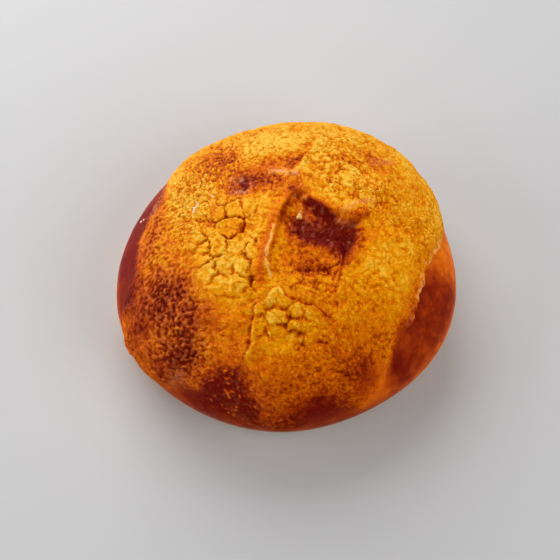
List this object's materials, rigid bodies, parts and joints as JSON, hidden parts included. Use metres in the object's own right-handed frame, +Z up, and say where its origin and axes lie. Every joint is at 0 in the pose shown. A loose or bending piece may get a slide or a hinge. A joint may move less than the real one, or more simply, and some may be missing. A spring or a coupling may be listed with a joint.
{
  "type": "sponge-crusted sweet bun",
  "caption": "Whole round sweet bun: soft domed dough body under a crumbly, folded and cracked sponge crust that leaves parts of the glossy brown sides bare.",
  "frame": {"origin": "middle of the bun's outline, on the flat underside that it stands on", "axes": "+Z up through the crown, -Y towards the front, +X to the right seen from the front"},
  "size_m": [0.1294, 0.1244, 0.0522],
  "materials": {
    "baked_dough": "smooth baked bread skin, softly glossy",
    "sponge_crust": "dry crumbly sponge, golden with browned patches"
  },
  "bodies": {
    "root": {"dough_body": "baked_dough", "sponge_crust": "sponge_crust"}
  },
  "joints": []
}
